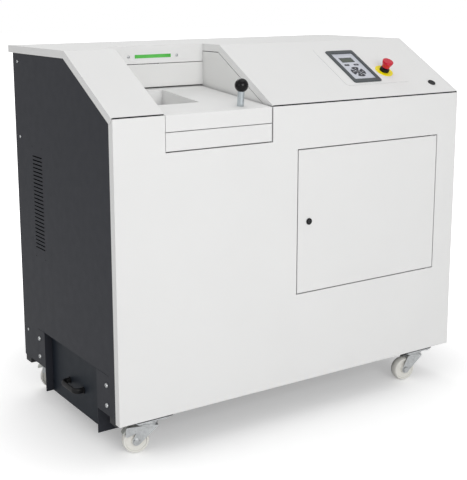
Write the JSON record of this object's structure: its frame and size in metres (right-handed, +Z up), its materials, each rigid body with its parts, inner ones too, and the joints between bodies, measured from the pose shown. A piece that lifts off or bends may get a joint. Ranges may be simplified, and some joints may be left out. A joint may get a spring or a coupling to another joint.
{
  "type": "hard drive crusher",
  "caption": "Castered cabinet that shreds hard drives: sloped hood with controls, push-in drive slide, hinged service door, and a pull-out bin at the side.",
  "frame": {"origin": "on the floor, below the middle of the cabinet", "axes": "+X to the right seen from the front, +Y to the back, +Z up"},
  "size_m": [1.276, 0.703, 1.143],
  "materials": {
    "white_coat": "satin powder coat",
    "recess_coat": "satin powder coat",
    "slate_coat": "satin powder coat",
    "bin_coat": "satin powder coat",
    "frame_coat": "matt paint",
    "zinc": "zinc plated",
    "bright_steel": "ground",
    "tool_steel": "ground",
    "chrome": "polished",
    "black_gloss": "gloss",
    "black_plastic": "satin",
    "green_clear": "clear",
    "bezel_grey": "satin",
    "membrane": "satin film",
    "display": "gloss",
    "key_dark": "satin",
    "stop_yellow": "satin",
    "stop_red": "gloss",
    "polyamide": "satin",
    "gearbox_paint": "painted casting",
    "motor_paint": "painted casting"
  },
  "bodies": {
    "cabinet": {"base_plate": "frame_coat", "inner_frame": "frame_coat", "left_side_panel": "slate_coat", "right_side_panel": "slate_coat", "rear_panel": "slate_coat", "front_panel": "white_coat", "bin_housing": "slate_coat", "cabinet_screws": "zinc", "cable_gland": "black_plastic", "feed_surround": "recess_coat", "feed_tray": "white_coat", "chutes": "zinc", "cutter_housing": "bright_steel", "gearbox": "gearbox_paint", "drive_motor": "motor_paint", "control_box": "recess_coat", "caster_plates": "zinc", "hood_hinges": "bright_steel"},
    "hood": {"hood": "white_coat", "hood_hinge_leaves": "bright_steel", "status_window": "green_clear", "control_plate": "white_coat", "display_bezel": "bezel_grey", "keypad_panel": "membrane", "display_window": "display", "estop_label": "stop_yellow", "estop_body": "black_plastic", "hood_lock": "black_plastic"},
    "service_door": {"service_door": "white_coat", "door_lock": "black_plastic"},
    "door_lock_core": {"door_lock_core": "zinc"},
    "hood_lock_core": {"hood_lock_core": "zinc"},
    "estop_stem": {"estop_stem": "black_plastic"},
    "estop_head": {"estop_head": "stop_red"},
    "feed_slide": {"feed_slide": "white_coat", "slide_knob_stem": "chrome", "slide_knob_ball": "black_gloss"},
    "collection_bin": {"collection_bin": "bin_coat", "bin_handle": "black_plastic"},
    "cutter_rotor_front": {"cutter_rotor_front": "tool_steel", "sync_gear_front": "tool_steel"},
    "cutter_rotor_rear": {"cutter_rotor_rear": "tool_steel", "sync_gear_rear": "tool_steel"},
    "key_soft_left": {"key_soft_left": "key_dark"},
    "key_soft_right": {"key_soft_right": "key_dark"},
    "key_up": {"key_up": "key_dark"},
    "key_down": {"key_down": "key_dark"},
    "key_left": {"key_left": "key_dark"},
    "key_right": {"key_right": "key_dark"},
    "key_ok": {"key_ok": "key_dark"},
    "caster_fork_front_left": {"caster_fork_front_left": "zinc"},
    "caster_wheel_front_left": {"caster_wheel_front_left": "polyamide"},
    "caster_fork_front_right": {"caster_fork_front_right": "zinc"},
    "caster_wheel_front_right": {"caster_wheel_front_right": "polyamide"},
    "caster_fork_rear_left": {"caster_fork_rear_left": "zinc"},
    "caster_wheel_rear_left": {"caster_wheel_rear_left": "polyamide"},
    "caster_fork_rear_right": {"caster_fork_rear_right": "zinc"},
    "caster_wheel_rear_right": {"caster_wheel_rear_right": "polyamide"},
    "brake_pedal_front_left": {"brake_pedal_front_left": "zinc"},
    "brake_pedal_rear_left": {"brake_pedal_rear_left": "zinc"}
  },
  "joints": [
    {"name": "hood_hinge", "type": "hinge", "parent": "cabinet", "child": "hood", "pos_m": [0, 0.335, 1.108], "axis": [-1, 0, 0], "range_deg": [0, 70]},
    {"name": "door_hinge", "type": "hinge", "parent": "cabinet", "child": "service_door", "pos_m": [0.5295, -0.342, 0.622], "axis": [0, 0, 1], "range_deg": [0, 110]},
    {"name": "door_lock_turn", "type": "hinge", "parent": "service_door", "child": "door_lock_core", "pos_m": [0.023, -0.35, 0.622], "axis": [0, 1, 0], "range_deg": [0, 90]},
    {"name": "hood_lock_turn", "type": "hinge", "parent": "hood", "child": "hood_lock_core", "pos_m": [0.5635, -0.29943, 1.00794], "axis": [0, -0.5008, 0.8656], "range_deg": [0, 90]},
    {"name": "estop_push", "type": "slide", "parent": "hood", "child": "estop_stem", "axis": [0, 0.5008, -0.8656], "range_m": [0, 0.004], "stiffness_N_per_m": 2000},
    {"name": "estop_twist", "type": "hinge", "parent": "estop_stem", "child": "estop_head", "pos_m": [0.4163, -0.23241, 1.04984], "axis": [0, -0.5008, 0.8656], "range_deg": [0, 40], "stiffness_Nm_per_rad": 0.08},
    {"name": "feed_push", "type": "slide", "parent": "cabinet", "child": "feed_slide", "axis": [0, 0.996, 0.0896], "range_m": [0, 0.25]},
    {"name": "bin_pull", "type": "slide", "parent": "cabinet", "child": "collection_bin", "axis": [-1, 0, 0], "range_m": [0, 0.42]},
    {"name": "cutter_spin_front", "type": "hinge", "parent": "cabinet", "child": "cutter_rotor_front", "pos_m": [-0.361, 0.105, 0.63], "axis": [1, 0, 0], "continuous": true},
    {"name": "cutter_spin_rear", "type": "hinge", "parent": "cabinet", "child": "cutter_rotor_rear", "pos_m": [-0.361, 0.181, 0.63], "axis": [1, 0, 0], "continuous": true},
    {"name": "key_soft_left_press", "type": "slide", "parent": "hood", "child": "key_soft_left", "axis": [0, 0.5008, -0.8656], "range_m": [0, 0.0007], "stiffness_N_per_m": 400},
    {"name": "key_soft_right_press", "type": "slide", "parent": "hood", "child": "key_soft_right", "axis": [0, 0.5008, -0.8656], "range_m": [0, 0.0007], "stiffness_N_per_m": 400},
    {"name": "key_up_press", "type": "slide", "parent": "hood", "child": "key_up", "axis": [0, 0.5008, -0.8656], "range_m": [0, 0.0007], "stiffness_N_per_m": 400},
    {"name": "key_down_press", "type": "slide", "parent": "hood", "child": "key_down", "axis": [0, 0.5008, -0.8656], "range_m": [0, 0.0007], "stiffness_N_per_m": 400},
    {"name": "key_left_press", "type": "slide", "parent": "hood", "child": "key_left", "axis": [0, 0.5008, -0.8656], "range_m": [0, 0.0007], "stiffness_N_per_m": 400},
    {"name": "key_right_press", "type": "slide", "parent": "hood", "child": "key_right", "axis": [0, 0.5008, -0.8656], "range_m": [0, 0.0007], "stiffness_N_per_m": 400},
    {"name": "key_ok_press", "type": "slide", "parent": "hood", "child": "key_ok", "axis": [0, 0.5008, -0.8656], "range_m": [0, 0.0007], "stiffness_N_per_m": 400},
    {"name": "caster_swivel_front_left", "type": "hinge", "parent": "cabinet", "child": "caster_fork_front_left", "pos_m": [-0.5175, -0.3, 0.108], "axis": [0, 0, 1], "continuous": true},
    {"name": "wheel_spin_front_left", "type": "hinge", "parent": "caster_fork_front_left", "child": "caster_wheel_front_left", "pos_m": [-0.55174, -0.28887, 0.04], "axis": [0.309, 0.9511, 0], "continuous": true},
    {"name": "pedal_press_front_left", "type": "hinge", "parent": "caster_fork_front_left", "child": "brake_pedal_front_left", "pos_m": [-0.57456, -0.28146, 0.079], "axis": [-0.309, -0.9511, 0], "range_deg": [-40, 0]},
    {"name": "caster_swivel_front_right", "type": "hinge", "parent": "cabinet", "child": "caster_fork_front_right", "pos_m": [0.5175, -0.3, 0.108], "axis": [0, 0, 1], "continuous": true},
    {"name": "wheel_spin_front_right", "type": "hinge", "parent": "caster_fork_front_right", "child": "caster_wheel_front_right", "pos_m": [0.48194, -0.29437, 0.04], "axis": [0.1564, 0.9877, 0], "continuous": true},
    {"name": "caster_swivel_rear_left", "type": "hinge", "parent": "cabinet", "child": "caster_fork_rear_left", "pos_m": [-0.5175, 0.282, 0.108], "axis": [0, 0, 1], "continuous": true},
    {"name": "wheel_spin_rear_left", "type": "hinge", "parent": "caster_fork_rear_left", "child": "caster_wheel_rear_left", "pos_m": [-0.54958, 0.29834, 0.04], "axis": [0.454, 0.891, 0], "continuous": true},
    {"name": "pedal_press_rear_left", "type": "hinge", "parent": "caster_fork_rear_left", "child": "brake_pedal_rear_left", "pos_m": [-0.57096, 0.30924, 0.079], "axis": [-0.454, -0.891, 0], "range_deg": [0, 40]},
    {"name": "caster_swivel_rear_right", "type": "hinge", "parent": "cabinet", "child": "caster_fork_rear_right", "pos_m": [0.5175, 0.282, 0.108], "axis": [0, 0, 1], "continuous": true},
    {"name": "wheel_spin_rear_right", "type": "hinge", "parent": "caster_fork_rear_right", "child": "caster_wheel_rear_right", "pos_m": [0.48367, 0.29431, 0.04], "axis": [0.342, 0.9397, 0], "continuous": true}
  ],
  "couplings": [
    {"joint": "cutter_spin_rear", "follows": "cutter_spin_front", "ratio": -1}
  ]
}
